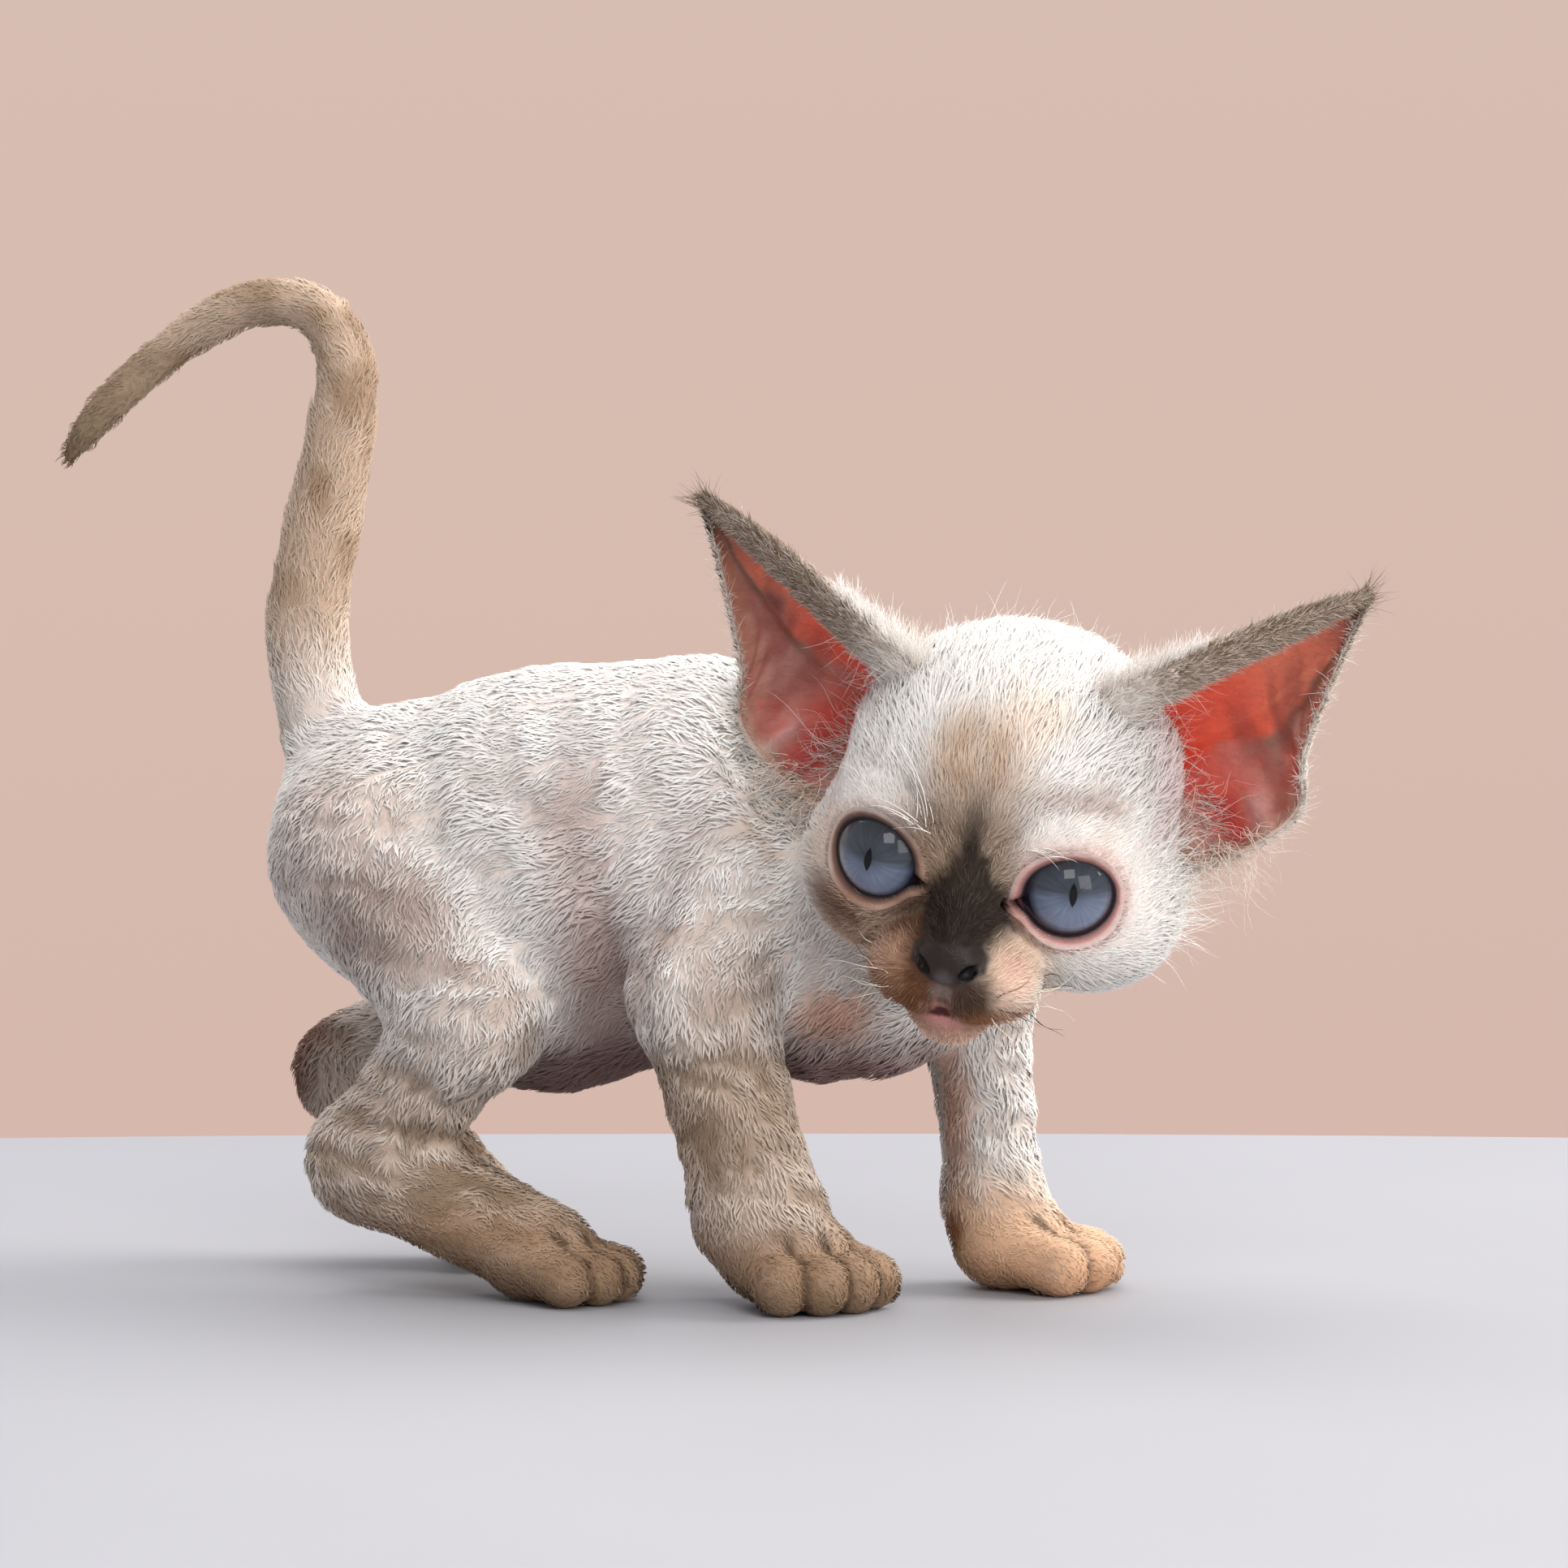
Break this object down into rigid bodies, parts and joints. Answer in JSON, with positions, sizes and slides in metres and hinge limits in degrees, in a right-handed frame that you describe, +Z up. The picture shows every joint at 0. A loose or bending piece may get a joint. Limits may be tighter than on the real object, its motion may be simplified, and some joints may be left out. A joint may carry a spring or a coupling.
{
  "type": "devon rex kitten",
  "caption": "Young curly-coated cat in mid step, head turned over its right shoulder, huge ears spread and a thin tail hooked backwards, as a still life-size model.",
  "frame": {"origin": "on the floor, under the middle of the bounding box", "axes": "+X along the spine from the tail to the chest, +Y to the kitten's left, +Z up"},
  "size_m": [0.227, 0.0794, 0.1608],
  "materials": {
    "body_coat": "short soft white fur in low waves",
    "face_coat": "short white fur with a brown and ginger mask",
    "leg_coat": "short beige fur with fine brown ripples",
    "paw_coat": "short taupe fur",
    "tail_coat": "short cream fur with brown mottles",
    "ear_skin": "thin pink skin with brown fur along the edges",
    "eye": "wet and clear, blue-grey with a narrow upright pupil"
  },
  "bodies": {
    "root": {"torso": "body_coat", "neck": "body_coat", "head": "face_coat", "eye_left": "eye", "eye_right": "eye", "ear_left": "ear_skin", "ear_right": "ear_skin", "tail_root": "tail_coat", "tail_shaft": "tail_coat", "tail_hook": "tail_coat", "hind_thigh_left": "body_coat", "hind_shank_left": "leg_coat", "hind_foot_left": "paw_coat", "fore_upper_left": "body_coat", "fore_arm_left": "leg_coat", "fore_paw_left": "paw_coat", "hind_thigh_right": "body_coat", "hind_shank_right": "leg_coat", "hind_foot_right": "paw_coat", "fore_upper_right": "body_coat", "fore_arm_right": "leg_coat", "fore_paw_right": "paw_coat"}
  },
  "joints": []
}
